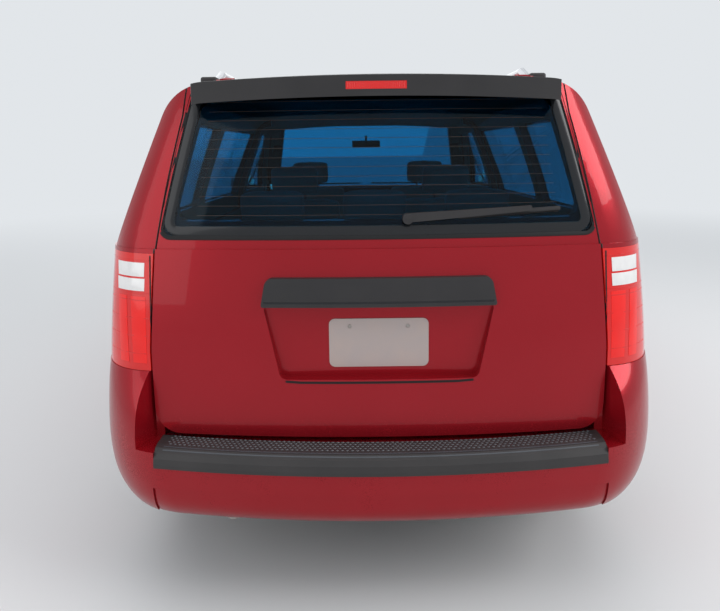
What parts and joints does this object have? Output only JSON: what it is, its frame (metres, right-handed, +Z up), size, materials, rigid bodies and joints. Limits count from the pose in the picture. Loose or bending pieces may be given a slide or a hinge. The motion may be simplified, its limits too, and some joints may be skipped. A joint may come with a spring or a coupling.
{
  "type": "minivan",
  "caption": "Family minivan with hinged front doors, fixed sliding doors, a top-hung liftgate, a hood, steered front wheels, roof rails and a furnished cabin.",
  "frame": {"origin": "on the ground, under the middle of the bounding box", "axes": "+Z up, +Y towards the tail, +X towards the vehicle's left side"},
  "size_m": [2.326, 5.1433, 1.75],
  "materials": {
    "paint": "gloss",
    "dark_trim": "satin",
    "window": "gloss",
    "lamp_red": "gloss",
    "lamp_clear": "gloss",
    "silver_trim": "gloss",
    "tyre": "matte",
    "steel": "satin",
    "chassis": "satin",
    "iron": "matte",
    "cloth": "matte",
    "interior": "matte"
  },
  "bodies": {
    "body": {"side_frames": "paint", "sliding_doors": "paint", "roof_panel": "paint", "rear_bumper": "paint", "front_bumper": "paint", "fenders": "paint", "step_pad": "dark_trim", "front_wipers": "dark_trim", "grille": "dark_trim", "wheel_housings": "dark_trim", "firewall_cowl": "dark_trim", "side_windows": "window", "windshield": "window", "tail_lamps": "lamp_red", "headlamps": "lamp_clear", "roof_rails": "silver_trim", "front_structure": "chassis", "front_subframe": "chassis", "rear_axle": "chassis", "floor_pan": "chassis", "fuel_tank": "chassis", "exhaust": "steel", "engine_block": "iron", "captain_seats": "cloth", "third_row_seat": "cloth", "dashboard": "interior", "steering_wheel": "interior"},
    "front_door_left": {"front_door_left": "paint", "front_door_window_left": "window", "mirror_left": "paint"},
    "front_door_right": {"front_door_right": "paint", "front_door_window_right": "window", "mirror_right": "paint"},
    "liftgate": {"liftgate": "paint", "liftgate_window": "window", "liftgate_garnish": "dark_trim", "rear_spoiler": "dark_trim", "stop_lamp": "lamp_red", "rear_wiper": "dark_trim"},
    "hood": {"hood": "paint"},
    "knuckle_left": {"knuckle_left": "iron"},
    "knuckle_right": {"knuckle_right": "iron"},
    "wheel_front_left": {"wheel_front_left": "silver_trim", "tyre_front_left": "tyre"},
    "wheel_front_right": {"wheel_front_right": "silver_trim", "tyre_front_right": "tyre"},
    "wheel_rear_left": {"wheel_rear_left": "silver_trim", "tyre_rear_left": "tyre"},
    "wheel_rear_right": {"wheel_rear_right": "silver_trim", "tyre_rear_right": "tyre"}
  },
  "joints": [
    {"name": "front_door_left_hinge", "type": "hinge", "parent": "body", "child": "front_door_left", "pos_m": [0.92, -1.125, 0.68], "axis": [0, 0, -1], "range_deg": [0, 65]},
    {"name": "front_door_right_hinge", "type": "hinge", "parent": "body", "child": "front_door_right", "pos_m": [-0.92, -1.125, 0.68], "axis": [0, 0, 1], "range_deg": [0, 65]},
    {"name": "hood_hinge", "type": "hinge", "parent": "body", "child": "hood", "pos_m": [0, -1.49, 1.04], "axis": [-1, 0, 0], "range_deg": [0, 50]},
    {"name": "liftgate_hinge", "type": "hinge", "parent": "body", "child": "liftgate", "pos_m": [0, 2.186, 1.664], "axis": [1, 0, 0], "range_deg": [0, 85]},
    {"name": "steer_left", "type": "hinge", "parent": "body", "child": "knuckle_left", "pos_m": [0.73041, -1.6015, 0.3495], "axis": [-0.2149, 0, 0.9766], "range_deg": [-33, 33]},
    {"name": "steer_right", "type": "hinge", "parent": "body", "child": "knuckle_right", "pos_m": [-0.73041, -1.6015, 0.3495], "axis": [0.2149, 0, 0.9766], "range_deg": [-33, 33]},
    {"name": "wheel_front_left_spin", "type": "hinge", "parent": "knuckle_left", "child": "wheel_front_left", "pos_m": [0.824, -1.6015, 0.3495], "axis": [1, 0, 0], "continuous": true},
    {"name": "wheel_front_right_spin", "type": "hinge", "parent": "knuckle_right", "child": "wheel_front_right", "pos_m": [-0.824, -1.6015, 0.3495], "axis": [1, 0, 0], "continuous": true},
    {"name": "wheel_rear_left_spin", "type": "hinge", "parent": "body", "child": "wheel_rear_left", "pos_m": [0.824, 1.4765, 0.3495], "axis": [1, 0, 0], "continuous": true},
    {"name": "wheel_rear_right_spin", "type": "hinge", "parent": "body", "child": "wheel_rear_right", "pos_m": [-0.824, 1.4765, 0.3495], "axis": [1, 0, 0], "continuous": true}
  ],
  "couplings": [
    {"joint": "steer_right", "follows": "steer_left", "ratio": 1}
  ]
}
